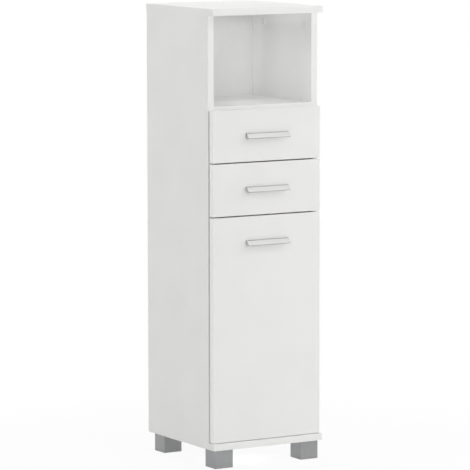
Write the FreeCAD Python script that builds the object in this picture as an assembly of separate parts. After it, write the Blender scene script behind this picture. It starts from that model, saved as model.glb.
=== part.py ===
import FreeCAD, Part
import math
import os

# A narrow bathroom highboard on four square feet: an open niche at the top, two drawers on
# roller runners and a door on concealed cup hinges. Millimetres, +Z up, front towards -Y.
# The origin lies on the floor under the middle of the whole cabinet, handles included.

# carcass
carcass_width = 300.0
carcass_height = 1040.0
panel_depth = 315.0
board = 16.0
top_overhang = 1.0
niche_height = 213.0
foot_height = 44.0

# fronts, which hang between the lips of the top and bottom panels
front_thickness = 16.0
front_gap = 2.0
front_setback = 6.0
front_inset = 3.0
drawer_front_height = 123.25
front_spacing = 3.0
shelf_reveal = 8.0
door_floor_gap = 1.0
base_shelf_drop = 3.0
front_edge_radius = 0.8

# back panel in its grooves
back_thickness = 3.0
back_setback = 19.0
groove_depth = 6.0
groove_clearance = 0.2

# feet, hollow from above with a screw boss
foot_size = 48.0
foot_side_inset = 8.0
foot_front_inset = 6.0
foot_rear_inset = 16.0
foot_wall = 3.0
foot_edge = 1.0
foot_boss_radius = 7.0
foot_screw_radius = 2.25
foot_screw_length = 34.0
foot_screw_grip = 12.0
foot_screw_head_radius = 4.5
foot_screw_head_height = 3.0

# cam fittings and dowels that hold the boards together
cam_radius = 7.5
cam_depth = 12.5
cam_setback = 30.0
cam_front_inset = 37.0
cam_rear_inset = 68.0
cam_bolt_radius = 3.0
cam_bolt_grip = 11.0
cam_cap_radius = 8.5
cam_cap_height = 1.0
dowel_radius = 4.0
dowel_length = 30.0
dowel_grip = 10.0
bore_clearance = 0.05
bore_relief = 0.5
pin_flats = 6
head_flats = 8
journal_flats = 10

# loose shelf behind the door, on pins in rows of holes
shelf_side_clearance = 1.0
shelf_front_setback = 22.0
shelf_rise = 250.0
shelf_pin_radius = 2.5
shelf_pin_grip = 8.0
shelf_pin_reach = 7.0
shelf_pin_collar_radius = 4.0
shelf_pin_collar = 0.8
shelf_row_pitch = 32.0
shelf_row_steps = 1

# drawer boxes
box_board = 12.0
box_height = 90.0
box_depth = 250.0
box_rise = 12.0
box_bottom = 3.0
box_bottom_rise = 9.0
box_groove = 5.0
box_dowel_radius = 3.0
box_dowel_length = 28.0
box_dowel_grip = 8.0
box_dowel_low = 30.0
box_dowel_high = 68.0

# roller runners in the space beside each drawer box
runner_space = 12.5
runner_steel = 1.2
runner_overrun = 1.0
runner_flange = 10.0
runner_track_rise = 2.8
runner_track_height = 16.0
runner_mouth = 25.0
rail_start = 3.0
rail_web_height = 22.0
rail_flange_gap = 3.2
front_roller_radius = 8.75
rear_roller_radius = 7.7
roller_inset = 12.0
roller_width = 6.4
roller_gap = 2.8
roller_pin_radius = 2.5
roller_pin_head_radius = 4.0
roller_pin_head = 0.6
roller_play = 0.1
running_clearance = 0.05
roller_lift = 0.25
rail_screw_radius = 1.75
rail_screw_length = 9.0
rail_screw_head_radius = 3.5
rail_screw_head = 0.8
rail_screw_front = 60.0
rail_screw_rear = 190.0
euro_screw_radius = 2.5
euro_screw_length = 11.0
euro_screw_head_radius = 4.2
euro_screw_head = 0.7
runner_screw_front = 37.0
runner_screw_rear = 197.0

# bent strip handles
handle_length = 116.0
handle_reach = 15.0
handle_height = 12.5
handle_shelf = 4.5
handle_strip = 2.0
handle_bend = 2.5
handle_drop = 62.5
handle_hole_spacing = 96.0
handle_post_radius = 4.5
handle_screw_radius = 2.0
handle_screw_bite = 3.0
handle_screw_head_radius = 4.0
handle_screw_head = 2.4

# concealed hinges: pin places are measured from the cup's centre on the door's inner face,
# first towards the door's free edge, then towards the room
hinge_side = 1
hinge_end_distance = 102.0
cup_edge_distance = 22.0
cup_radius = 17.5
cup_depth = 13.0
cup_wall = 1.0
cup_slot = 6.6
cup_wing_thickness = 1.2
cup_wing_half_width = 8.0
cup_wing_margin = 6.0
cup_screw_spacing = 48.0
cup_screw_radius = 1.75
cup_screw_length = 11.0
cup_screw_head_radius = 3.2
cup_screw_head = 1.0
cup_clearance = 0.1
arm_far_pin = (10.4, -26.8)
arm_near_pin = (6.7, 5.0)
cup_edge_pin = (-13.4, 2.75)
cup_deep_pin = (-8.7, 7.0)
hinge_pin_radius = 1.2
hinge_pin_seat = 2.5
outer_link_bends = ((-3.7, -3.87), (-5.66, 8.87))
inner_link_bends = ((1.96, 8.71), (-3.17, 9.37))
link_half_width = 2.2
link_thickness = 4.0
link_gap = 0.3
link_steps = 8
open_pivot_play = 1.75
open_pivot_rim = 1.0
arm_cheek = 1.4
arm_half_width = 2.4
arm_thickness = 5.0
arm_knee = (8.0, -20.0)
arm_start = 32.0
arm_end = 62.0
arm_screw_inset = 50.0
arm_screw_radius = 2.0
arm_screw_grip = 4.0
arm_screw_head_radius = 3.5
arm_screw_head = 2.0
plate_thickness = 3.0
plate_rail = 5.0
plate_setback = 37.0
plate_half_depth = 8.0
plate_half_height = 24.0
plate_screw_spacing = 32.0

# levels and planes worked out from the sizes above
half_width = carcass_width / 2
inner_half = half_width - board
handle_overreach = max(handle_reach - front_setback, 0.0)
y_panel = handle_overreach - (panel_depth + handle_overreach) / 2
y_face = y_panel + front_setback
y_front_back = y_face + front_thickness
y_side = y_front_back + front_gap
y_rear = y_panel + panel_depth
y_back_rear = y_rear - back_setback
y_back = y_back_rear - back_thickness
z_bottom = foot_height
z_floor = z_bottom + board
z_top = z_bottom + carcass_height
z_ceiling = z_top - board
z_niche = z_ceiling - niche_height
z_upper_front = z_niche - shelf_reveal
z_lower_front = z_upper_front - drawer_front_height - front_spacing
z_door_top = z_lower_front - drawer_front_height - front_spacing
z_door_bottom = z_floor + door_floor_gap
z_base = z_door_top - base_shelf_drop
z_pins = z_floor + shelf_rise
z_hinges = (z_door_bottom + hinge_end_distance, z_door_top - hinge_end_distance)
front_half = half_width - front_inset
side_middle = half_width - board / 2
y_fittings = (y_side + cam_front_inset, y_rear - cam_rear_inset)
y_dowel = sum(y_fittings) / 2

X = FreeCAD.Vector(1, 0, 0)
Y = FreeCAD.Vector(0, 1, 0)
Z = FreeCAD.Vector(0, 0, 1)
sides = {"left": -1, "right": 1}
drawers = {"upper": z_upper_front, "lower": z_lower_front}


def block(x0, x1, y0, y1, z0, z1):
    low = FreeCAD.Vector(min(x0, x1), min(y0, y1), min(z0, z1))
    return Part.makeBox(abs(x1 - x0), abs(y1 - y0), abs(z1 - z0), low)


def rod(radius, start, end):
    start = FreeCAD.Vector(*start)
    run = FreeCAD.Vector(*end) - start
    return Part.makeCylinder(radius, run.Length, start, run)


# small round pieces and their bores are drawn with flats, corners on the given radius
def flat_rod(radius, start, end, flats):
    start = FreeCAD.Vector(*start)
    run = FreeCAD.Vector(*end) - start
    first = run.cross(X if abs(run.x) < abs(run.z) + abs(run.y) else Z).normalize()
    second = run.cross(first).normalize()
    count = round(flats)
    turns = [2 * math.pi * step / count for step in range(count)]
    corners = [start + (first * math.cos(a) + second * math.sin(a)) * radius for a in turns]
    return Part.Face(Part.makePolygon(corners + corners[:1])).extrude(run)


def small_rod(radius, start, end):
    return flat_rod(radius, start, end, pin_flats)


def small_head(radius, start, end):
    return flat_rod(radius, start, end, head_flats)


def turned_head(radius, start, end):
    return flat_rod(radius, start, end, journal_flats)


# a bore for a pin with flats that turns inside it: the flats of the bore clear the pin's corners
def journal_bore(radius, start, end):
    reach = (radius + running_clearance) / math.cos(math.pi / round(journal_flats))
    return flat_rod(reach, start, end, journal_flats)


def prism(corners, run):
    points = [FreeCAD.Vector(*corner) for corner in corners]
    return Part.Face(Part.makePolygon(points + points[:1])).extrude(run)


def without(shape, cuts):
    return shape.cut(Part.makeCompound(cuts)) if cuts else shape


def joined(first, others):
    return first.fuse(others).removeSplitter()


def write(node, *solids):
    shape = solids[0] if len(solids) == 1 else Part.makeCompound(list(solids))
    shape.exportStep("parts/%s.step" % node)


def soften(shape, radius, picks):
    edges = [edge for edge in shape.Edges if picks(edge)]
    return shape.makeFillet(radius, edges)


def along(edge, axis):
    ends = [vertex.Point for vertex in edge.Vertexes]
    return len(ends) == 2 and abs((ends[1] - ends[0]).normalize().dot(axis)) > 0.999


# cam fitting: the bolt stands in one board and the cam in the next draws it tight
def cam_fitting(joint, into, open_way):
    joint = FreeCAD.Vector(*joint)
    centre = joint + into * cam_setback
    mouth = centre + open_way * (board / 2)
    seat = mouth - open_way * (cam_depth + bore_relief)
    foot = joint - into * cam_bolt_grip
    nose = centre - into * cam_radius
    return {
        "cam": small_head(cam_radius - bore_clearance, seat, seat + open_way * cam_depth),
        "cap": small_head(cam_cap_radius, mouth, mouth + open_way * cam_cap_height),
        "bolt": small_rod(cam_bolt_radius, foot, nose),
        "cam_bore": small_head(cam_radius, seat, mouth),
        "tunnel": small_rod(cam_bolt_radius + bore_clearance, joint, centre),
        "bolt_bore": small_rod(cam_bolt_radius + bore_clearance, foot - into * bore_relief, joint),
    }


def dowel_fitting(joint, into):
    joint = FreeCAD.Vector(*joint)
    near = joint - into * dowel_grip
    far = near + into * dowel_length
    radius = dowel_radius + bore_clearance
    return {
        "dowel": small_rod(dowel_radius, near, far),
        "near_bore": small_rod(radius, near - into * bore_relief, joint),
        "far_bore": small_rod(radius, joint, far + into * bore_relief),
    }


def back_grooves():
    y0 = y_back - groove_clearance
    y1 = y_back_rear + groove_clearance
    reach = groove_depth + groove_clearance
    return block(
        -inner_half - reach, inner_half + reach, y0, y1, z_floor - reach, z_ceiling + reach
    )


def pin_rows(side):
    inner = side * inner_half
    bores = []
    for y in y_fittings:
        for step in range(-round(shelf_row_steps), round(shelf_row_steps) + 1):
            z = z_pins + step * shelf_row_pitch
            end = inner + side * (shelf_pin_grip + bore_relief)
            bores.append(small_rod(shelf_pin_radius + bore_clearance, (inner, y, z), (end, y, z)))
    return bores


def shelf_pin(side, y):
    inner = side * inner_half
    grip = (inner + side * shelf_pin_grip, y, z_pins)
    collar = (inner - side * shelf_pin_collar, y, z_pins)
    reach = (inner - side * (shelf_pin_collar + shelf_pin_reach), y, z_pins)
    ring = small_head(shelf_pin_collar_radius, (inner, y, z_pins), collar)
    return joined(small_rod(shelf_pin_radius, grip, reach), [ring])


# boards of the carcass, with the fittings that hold them
def carcass():
    cams = []
    for side in sides.values():
        for y in y_fittings:
            inward = X * -side
            for name, z, into in (("top", z_ceiling, Z * -1), ("bottom", z_floor, Z)):
                cams.append((name, side, cam_fitting((side * side_middle, y, z), into, inward)))
        for name, z in (("niche", z_niche), ("base", z_base)):
            joint = (side * inner_half, y_fittings[0], z - board / 2)
            cams.append((name, side, cam_fitting(joint, X * -side, Z * -1)))
    dowels = []
    for side in sides.values():
        for name, z, into in (("top", z_ceiling, Z * -1), ("bottom", z_floor, Z)):
            dowels.append((name, side, dowel_fitting((side * side_middle, y_dowel, z), into)))
        for name, z in (("niche", z_niche), ("base", z_base)):
            joint = (side * inner_half, y_fittings[1], z - board / 2)
            dowels.append((name, side, dowel_fitting(joint, X * -side)))
    groove = back_grooves()

    top_half = half_width + top_overhang
    top = block(-top_half, top_half, y_panel, y_rear, z_ceiling, z_top)
    bottom = block(-half_width, half_width, y_panel, y_rear, z_bottom, z_floor)
    for name, panel in (("top", top), ("bottom", bottom)):
        cuts = [groove]
        cuts += [fit["bolt_bore"] for place, side, fit in cams if place == name]
        cuts += [fit["near_bore"] for place, side, fit in dowels if place == name]
        if name == "bottom":
            cuts += [foot_screw_bore(x, y) for x, y in foot_centres().values()]
        write(name + "_panel", without(panel, cuts))

    for word, side in sides.items():
        panel = block(side * inner_half, side * half_width, y_side, y_rear, z_floor, z_ceiling)
        cuts = [groove] + pin_rows(side) + runner_screw_bores(side)
        for place, at, fit in cams:
            if at == side and place in ("top", "bottom"):
                cuts += [fit["cam_bore"], fit["tunnel"]]
            elif at == side:
                cuts.append(fit["bolt_bore"])
        for place, at, fit in dowels:
            if at == side:
                cuts.append(fit["far_bore" if place in ("top", "bottom") else "near_bore"])
        if side == hinge_side:
            cuts += hinge_screw_bores()
        write(word + "_side_panel", without(panel, cuts))

    for name, node, z in (("niche", "niche_shelf", z_niche), ("base", "drawer_base_shelf", z_base)):
        shelf = block(-inner_half, inner_half, y_side, y_back, z - board, z)
        cuts = []
        for place, side, fit in cams:
            if place == name:
                cuts += [fit["cam_bore"], fit["tunnel"]]
        cuts += [fit["far_bore"] for place, side, fit in dowels if place == name]
        write(node, without(shelf, cuts))

    write(
        "back_panel",
        block(
            -inner_half - groove_depth, inner_half + groove_depth, y_back, y_back_rear,
            z_floor - groove_depth, z_ceiling + groove_depth,
        ),
    )
    for node, key in (("cam_locks", "cam"), ("cam_caps", "cap"), ("cam_bolts", "bolt")):
        write(node, *[fit[key] for place, side, fit in cams])
    write("dowels", *[fit["dowel"] for place, side, fit in dowels])


def loose_shelf():
    half = inner_half - shelf_side_clearance
    y0 = y_side + shelf_front_setback
    y1 = y_back - shelf_side_clearance
    under = z_pins + shelf_pin_radius
    write("adjustable_shelf", block(-half, half, y0, y1, under, under + board))
    write("shelf_pins", *[shelf_pin(side, y) for side in sides.values() for y in y_fittings])


# feet
def foot_centres():
    x = half_width - foot_side_inset - foot_size / 2
    y0 = y_panel + foot_front_inset + foot_size / 2
    y1 = y_rear - foot_rear_inset - foot_size / 2
    return {
        "front_left": (-x, y0), "front_right": (x, y0), "rear_left": (-x, y1), "rear_right": (x, y1),
    }


def foot_screw_bore(x, y):
    radius = foot_screw_radius + bore_clearance
    return small_rod(radius, (x, y, z_bottom), (x, y, z_bottom + foot_screw_grip + bore_relief))


def foot(x, y):
    half = foot_size / 2
    shell = block(x - half, x + half, y - half, y + half, 0, foot_height)
    shell = shell.makeChamfer(foot_edge, [edge for edge in shell.Edges if along(edge, Z)])
    inner = half - foot_wall
    hollow = block(x - inner, x + inner, y - inner, y + inner, foot_wall, foot_height)
    boss = turned_head(foot_boss_radius, (x, y, foot_wall), (x, y, foot_height))
    head_seat = z_bottom + foot_screw_grip - foot_screw_length
    counterbore = turned_head(foot_screw_head_radius + bore_relief, (x, y, 0), (x, y, head_seat))
    hole = small_rod(foot_screw_radius + bore_clearance, (x, y, 0), (x, y, foot_height))
    return shell.cut(hollow.cut(boss)).cut(counterbore.fuse(hole))


def foot_screw(x, y):
    tip = z_bottom + foot_screw_grip
    seat = tip - foot_screw_length
    shank = small_rod(foot_screw_radius, (x, y, seat), (x, y, tip))
    head = small_rod(foot_screw_head_radius, (x, y, seat - foot_screw_head_height), (x, y, seat))
    return joined(shank, [head])


def feet():
    for place, (x, y) in foot_centres().items():
        write("foot_" + place, foot(x, y))
    write("foot_screws", *[foot_screw(x, y) for x, y in foot_centres().values()])


# roller runners: u runs from the side panel's inner face towards the drawer box
def box_level(z_front):
    return z_front - drawer_front_height + box_rise


def across(side, u):
    return side * (inner_half - u)


def section(side, corners, y0, y1):
    points = [(across(side, u), y0, z) for u, z in corners]
    return prism(points, Y * (y1 - y0))


def stepped_pin(side, y, z, steps):
    parts = []
    for form, radius, u0, u1 in steps:
        parts.append(form(radius, (across(side, u0), y, z), (across(side, u1), y, z)))
    return joined(parts[0], parts[1:])


def front_roller_axis(z_front):
    z = box_level(z_front) + rail_web_height - runner_steel - roller_lift - front_roller_radius
    return y_side + roller_inset, z


def rear_roller_axis(z_front):
    z = box_level(z_front) + runner_track_rise + roller_lift + rear_roller_radius
    return y_front_back + box_depth - roller_inset, z


def runner_screw_level(z_front):
    return box_level(z_front) + runner_track_rise + runner_track_height / 2


def runner_screw_bores(side):
    bores = []
    inner = side * inner_half
    end = side * (inner_half + euro_screw_length - runner_steel + bore_relief)
    for z_front in drawers.values():
        z = runner_screw_level(z_front)
        for inset in (runner_screw_front, runner_screw_rear):
            y = y_side + inset
            bores.append(small_rod(euro_screw_radius + bore_clearance, (inner, y, z), (end, y, z)))
    return bores


def cabinet_runner(side, z_front):
    low = box_level(z_front) + runner_track_rise
    high = low + runner_track_height
    steel = runner_steel
    y0 = y_side + rail_start
    y1 = y_front_back + box_depth + runner_overrun
    corners = [
        (0, low - steel), (runner_flange, low - steel), (runner_flange, low), (steel, low),
        (steel, high), (runner_flange, high), (runner_flange, high + steel), (0, high + steel),
    ]
    runner = section(side, corners, y0, y1)
    mouth = block(
        across(side, steel), across(side, runner_flange), y0, y_side + runner_mouth, high, high + steel
    )
    cuts = [mouth]
    bores = [(turned_head, roller_pin_radius, *front_roller_axis(z_front))]
    for inset in (runner_screw_front, runner_screw_rear):
        bores.append((small_rod, euro_screw_radius, y_side + inset, runner_screw_level(z_front)))
    for form, radius, y, z in bores:
        ends = [(across(side, u), y, z) for u in (0, steel)]
        cuts.append(form(radius + bore_clearance, *ends))
    return without(runner, cuts)


def euro_screw(side, seat, y, z):
    return stepped_pin(side, y, z, [
        (small_rod, euro_screw_radius, seat, seat - euro_screw_length),
        (small_rod, euro_screw_head_radius, seat, seat + euro_screw_head),
    ])


def roller(side, radius, y, z):
    ends = [(across(side, roller_gap + reach), y, z) for reach in (0, roller_width)]
    return rod(radius, *ends).cut(journal_bore(roller_pin_radius, *ends))


def front_roller_pin(side, z_front):
    y, z = front_roller_axis(z_front)
    inner = roller_gap - roller_play
    outer = roller_gap + roller_width + roller_play
    return stepped_pin(side, y, z, [
        (turned_head, roller_pin_radius, 0, outer),
        (small_head, roller_pin_head_radius, runner_steel, inner),
        (small_head, roller_pin_head_radius, outer, outer + roller_pin_head),
    ])


def rear_roller_pin(side, z_front):
    y, z = rear_roller_axis(z_front)
    inner = roller_gap - roller_play
    outer = roller_gap + roller_width + roller_play
    web = runner_space - runner_steel
    return stepped_pin(side, y, z, [
        (turned_head, roller_pin_radius, inner, runner_space),
        (small_head, roller_pin_head_radius, outer, web),
        (small_head, roller_pin_head_radius, inner - roller_pin_head, inner),
    ])


def drawer_rail(side, z_front):
    z = box_level(z_front)
    web = runner_space - runner_steel
    steel = runner_steel
    y0 = y_front_back + rail_start
    y1 = y_front_back + box_depth
    corners = [
        (runner_space + box_board, z - steel), (runner_space + box_board, z), (runner_space, z),
        (runner_space, z + rail_web_height), (rail_flange_gap, z + rail_web_height),
        (rail_flange_gap, z + rail_web_height - steel), (web, z + rail_web_height - steel),
        (web, z - steel),
    ]
    rail = section(side, corners, y0, y1)
    y, level = rear_roller_axis(z_front)
    ends = [(across(side, u), y, level) for u in (web, runner_space)]
    cuts = [turned_head(roller_pin_radius + bore_clearance, *ends)]
    for y in rail_screw_places():
        ends = [(across(side, u), y, rail_screw_level(z_front)) for u in (web, runner_space)]
        cuts.append(small_rod(rail_screw_radius + bore_clearance, *ends))
    return without(rail, cuts)


def rail_screw_places():
    return y_front_back + rail_screw_front, y_front_back + rail_screw_rear


def rail_screw_level(z_front):
    return box_level(z_front) + box_bottom_rise + box_bottom + rail_screw_head_radius + bore_relief


def rail_screw(side, y, z):
    web = runner_space - runner_steel
    return stepped_pin(side, y, z, [
        (small_rod, rail_screw_radius, web, web + rail_screw_length),
        (small_rod, rail_screw_head_radius, web, web - rail_screw_head),
    ])


def runners():
    screws = []
    pins = []
    for word, z_front in drawers.items():
        write(word + "_cabinet_runners", *[cabinet_runner(side, z_front) for side in sides.values()])
        y, z = front_roller_axis(z_front)
        write(
            word + "_front_rollers",
            *[roller(side, front_roller_radius, y, z) for side in sides.values()],
        )
        for side in sides.values():
            pins.append(front_roller_pin(side, z_front))
            for inset in (runner_screw_front, runner_screw_rear):
                level = runner_screw_level(z_front)
                screws.append(euro_screw(side, runner_steel, y_side + inset, level))
    write("front_roller_pins", *pins)
    write("euro_screws", *screws, *hinge_plate_screws())


# drawers
def box_dowels(z):
    half = inner_half - runner_space
    y_back_middle = y_front_back + box_depth - box_board / 2
    radius = box_dowel_radius
    fittings = []
    for side in sides.values():
        for rise in (box_dowel_low, box_dowel_high):
            front = FreeCAD.Vector(side * (half - box_board / 2), y_front_back, z + rise)
            rear = FreeCAD.Vector(side * (half - box_board), y_back_middle, z + rise)
            for joint, into in ((front, Y), (rear, X * -side)):
                start = joint - into * box_dowel_grip
                end = start + into * box_dowel_length
                relief = into * bore_relief
                fittings.append({
                    "dowel": small_rod(radius, start, end),
                    "bore": small_rod(radius + bore_clearance, start - relief, end + relief),
                })
    return fittings


def front_board(z0, z1):
    panel = block(-front_half, front_half, y_face, y_front_back, z0, z1)

    def face_edge(edge):
        return all(abs(vertex.Point.y - y_face) < 1e-6 for vertex in edge.Vertexes)

    return soften(panel, front_edge_radius, face_edge)


def drawer(word, z_front):
    z = box_level(z_front)
    half = inner_half - runner_space
    y_end = y_front_back + box_depth
    fittings = box_dowels(z)
    bores = [fit["bore"] for fit in fittings]
    clearance = groove_clearance
    floor = z + box_bottom_rise
    reach = half - box_board + box_groove
    y_reach = y_end - box_board + box_groove
    groove = block(
        -reach - clearance, reach + clearance, y_front_back - box_groove - clearance,
        y_reach + clearance, floor - clearance, floor + box_bottom + clearance,
    )

    front = front_board(z_front - drawer_front_height, z_front)
    handle_level = z_front - handle_drop
    write(word + "_drawer_front", without(front, bores + [groove] + handle_screw_bores(handle_level)))
    screw_level = rail_screw_level(z_front)
    screws = []
    for name, side in sides.items():
        board_side = block(side * half, side * (half - box_board), y_front_back, y_end, z, z + box_height)
        cuts = bores + [groove]
        for y in rail_screw_places():
            ends = (across(side, runner_space), across(side, runner_space + rail_screw_length))
            radius = rail_screw_radius + bore_clearance
            cuts.append(small_rod(radius, (ends[0], y, screw_level), (ends[1], y, screw_level)))
            screws.append(rail_screw(side, y, screw_level))
        write("%s_drawer_%s_side" % (word, name), without(board_side, cuts))
    back = block(-half + box_board, half - box_board, y_end - box_board, y_end, z, z + box_height)
    write(word + "_drawer_back", without(back, bores + [groove]))
    write(
        word + "_drawer_bottom",
        block(-reach, reach, y_front_back - box_groove, y_reach, floor, floor + box_bottom),
    )
    write(word + "_drawer_dowels", *[fit["dowel"] for fit in fittings])
    write(word + "_drawer_rails", *[drawer_rail(side, z_front) for side in sides.values()])
    write(word + "_drawer_rail_screws", *screws)
    write(word + "_drawer_roller_pins", *[rear_roller_pin(side, z_front) for side in sides.values()])
    y, level = rear_roller_axis(z_front)
    write(
        word + "_rear_rollers",
        *[roller(side, rear_roller_radius, y, level) for side in sides.values()],
    )
    write(word + "_drawer_handle", handle(handle_level))
    write(word + "_drawer_handle_screws", *handle_screws(handle_level))


# handle: a strip that leaves the front at the top, bends and slants down to its free lip
def handle_outline(z):
    top = z + handle_height / 2
    bend = (handle_shelf, top)
    lip = (handle_reach, top - handle_height)
    run = (lip[0] - bend[0], lip[1] - bend[1])
    length = math.hypot(*run)
    step = (run[1] / length * handle_strip, -run[0] / length * handle_strip)
    inner_lip = (lip[0] + step[0], lip[1] + step[1])
    slope = run[0] / run[1]
    under = top - handle_strip
    inner_bend = (inner_lip[0] + (under - inner_lip[1]) * slope, under)
    return [(0, top), bend, lip, inner_lip, inner_bend, (0, under)]


def handle(z):
    half = handle_length / 2
    outline = handle_outline(z)
    points = [(-half, y_face - reach, level) for reach, level in outline]
    strip = prism(points, X * handle_length)
    behind = prism([points[0], points[1], points[2], (-half, y_face, points[2][2])], X * handle_length)

    def at(corner, edge):
        place = edge.Vertexes[0].Point
        return math.hypot(place.y - corner[1], place.z - corner[2]) < 1e-6

    strip = soften(strip, handle_bend + handle_strip, lambda e: along(e, X) and at(points[1], e))
    strip = soften(strip, handle_bend, lambda e: along(e, X) and at(points[4], e))
    posts = []
    holes = []
    for x in (-handle_hole_spacing / 2, handle_hole_spacing / 2):
        post = turned_head(handle_post_radius, (x, y_face, z), (x, y_face - handle_reach, z))
        posts.append(post.common(behind))
        holes.append(small_rod(
            handle_screw_radius + bore_clearance, (x, y_face, z),
            (x, y_face - handle_screw_bite - bore_relief, z),
        ))
    return without(joined(strip, posts), holes)


def handle_screw_bores(z):
    places = (-handle_hole_spacing / 2, handle_hole_spacing / 2)
    radius = handle_screw_radius + bore_clearance
    return [small_rod(radius, (x, y_face, z), (x, y_front_back, z)) for x in places]


def handle_screws(z):
    screws = []
    for x in (-handle_hole_spacing / 2, handle_hole_spacing / 2):
        tip = (x, y_face - handle_screw_bite, z)
        seat = (x, y_front_back, z)
        shank = small_rod(handle_screw_radius, tip, seat)
        head = small_rod(handle_screw_head_radius, seat, (x, y_front_back + handle_screw_head, z))
        screws.append(joined(shank, [head]))
    return screws


# door and its concealed hinges
def hinge_place(spot):
    x = hinge_side * (front_half - cup_edge_distance - spot[0])
    return x, y_front_back - spot[1]


def hinge_point(spot, z):
    x, y = hinge_place(spot)
    return FreeCAD.Vector(x, y, z)


# a flat band of even width with rounded ends, along a path of points
def band(path, half_width, z0, z1):
    ways = [(b - a).normalize() for a, b in zip(path, path[1:])]
    left = []
    right = []
    for place, point in enumerate(path):
        way = (ways[max(place - 1, 0)] + ways[min(place, len(ways) - 1)]).normalize()
        reach = half_width / way.dot(ways[min(place, len(ways) - 1)])
        normal = FreeCAD.Vector(-way.y, way.x, 0) * reach
        left.append(point + normal)
        right.append(point - normal)
    ends = []
    for point, way in ((path[-1], ways[-1]), (path[0], ways[0] * -1)):
        normal = FreeCAD.Vector(-way.y, way.x, 0)
        turns = (math.pi / 4, 0, -math.pi / 4)
        ends.append([point + (way * math.cos(a) + normal * math.sin(a)) * half_width for a in turns])
    outline = left + ends[0] + right[::-1] + ends[1]
    return Part.Face(Part.makePolygon(outline + outline[:1])).extrude(Z * (z1 - z0))


# curved link: a band along a curve that leaves each pin towards its bend point
def link(start, bends, end, z0, z1):
    path = Part.BezierCurve()
    path.setPoles([hinge_point(spot, z0) for spot in (start, *bends, end)])
    count = round(link_steps)
    points = [path.value(step / count) for step in range(count + 1)]
    return band(points, link_half_width, z0, z1)


def hinge_rod(form, spot, radius, z0, z1):
    return form(radius, hinge_point(spot, z0), hinge_point(spot, z1))


def outer_link(z):
    z0 = z + link_gap
    z1 = z0 + link_thickness
    shape = link(arm_far_pin, outer_link_bends, cup_edge_pin, z0, z1)
    ends = (arm_far_pin, cup_edge_pin)
    return without(shape, [hinge_rod(journal_bore, spot, hinge_pin_radius, z0, z1) for spot in ends])


def inner_link(z):
    z1 = z - link_gap
    z0 = z1 - link_thickness
    shape = link(arm_near_pin, inner_link_bends, cup_deep_pin, z0, z1)
    wide = hinge_pin_radius + open_pivot_play
    shape = joined(shape, [hinge_rod(turned_head, cup_deep_pin, wide + open_pivot_rim, z0, z1)])
    near = hinge_rod(journal_bore, arm_near_pin, hinge_pin_radius, z0, z1)
    return without(shape, [near, hinge_rod(journal_bore, cup_deep_pin, wide, z0, z1)])


def arm_level():
    return 2 * link_gap + link_thickness


def hinge_arm(z):
    low = arm_level()
    high = low + arm_cheek
    seat = plate_thickness + plate_rail
    root_u = seat + arm_half_width
    root = (
        front_half - cup_edge_distance - (inner_half - root_u),
        front_gap * -1 - arm_start - arm_half_width,
    )
    body = block(
        across(hinge_side, seat), across(hinge_side, seat + arm_thickness),
        y_side + arm_start, y_side + arm_end, z - high, z + high,
    )
    cheeks = []
    for spots, z0, z1 in (
        ((arm_far_pin, root), z + low, z + high),
        ((arm_near_pin, arm_knee, root), z - high, z - low),
    ):
        cheeks.append(band([hinge_point(spot, z0) for spot in spots], arm_half_width, z0, z1))
    radius = hinge_pin_radius + bore_clearance
    y = y_side + arm_screw_inset
    ends = [(across(hinge_side, u), y, z) for u in (seat, seat + arm_thickness)]
    cuts = [
        hinge_rod(journal_bore, arm_far_pin, hinge_pin_radius, z + low, z + high),
        hinge_rod(journal_bore, arm_near_pin, hinge_pin_radius, z - high, z - low),
        small_rod(arm_screw_radius + bore_clearance, *ends),
    ]
    return without(joined(body, cheeks), cuts)


def arm_screw(z):
    seat = plate_thickness + plate_rail + arm_thickness
    return stepped_pin(hinge_side, y_side + arm_screw_inset, z, [
        (small_rod, arm_screw_radius, seat, seat - arm_thickness - arm_screw_grip),
        (small_rod, arm_screw_head_radius, seat, seat + arm_screw_head),
    ])


def arm_pins(z):
    high = arm_level() + arm_cheek
    return [
        hinge_rod(rod, arm_far_pin, hinge_pin_radius, z + link_gap, z + high),
        hinge_rod(rod, arm_near_pin, hinge_pin_radius, z - high, z - link_gap),
    ]


def cup_pins(z):
    reach = cup_slot + hinge_pin_seat
    return [
        hinge_rod(rod, cup_edge_pin, hinge_pin_radius, z + link_gap, z + reach),
        hinge_rod(turned_head, cup_deep_pin, hinge_pin_radius, z - reach, z - link_gap),
    ]


def hinge_plate(z):
    half_z = arm_level() + arm_cheek
    y = y_side + plate_setback
    wing = block(
        across(hinge_side, 0), across(hinge_side, plate_thickness), y - plate_half_depth,
        y + plate_half_depth, z - plate_half_height, z + plate_half_height,
    )
    rail = block(
        across(hinge_side, 0), across(hinge_side, plate_thickness + plate_rail),
        y - plate_half_depth, y_side + arm_end, z - half_z, z + half_z,
    )
    cuts = []
    for level in plate_screw_levels(z):
        ends = [(across(hinge_side, u), y, level) for u in (0, plate_thickness)]
        cuts.append(small_rod(euro_screw_radius + bore_clearance, *ends))
    seat = plate_thickness + plate_rail
    ends = [
        (across(hinge_side, u), y_side + arm_screw_inset, z)
        for u in (seat, seat - arm_screw_grip - bore_relief)
    ]
    cuts.append(small_rod(arm_screw_radius + bore_clearance, *ends))
    return without(joined(wing, [rail]), cuts)


def plate_screw_levels(z):
    return z - plate_screw_spacing / 2, z + plate_screw_spacing / 2


def hinge_plate_screws():
    y = y_side + plate_setback
    levels = [level for z in z_hinges for level in plate_screw_levels(z)]
    return [euro_screw(hinge_side, plate_thickness, y, level) for level in levels]


def hinge_screw_bores():
    y = y_side + plate_setback
    deep = plate_thickness - euro_screw_length - bore_relief
    bores = []
    for z in z_hinges:
        for level in plate_screw_levels(z):
            ends = [(across(hinge_side, u), y, level) for u in (0, deep)]
            bores.append(small_rod(euro_screw_radius + bore_clearance, *ends))
    return bores


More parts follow.
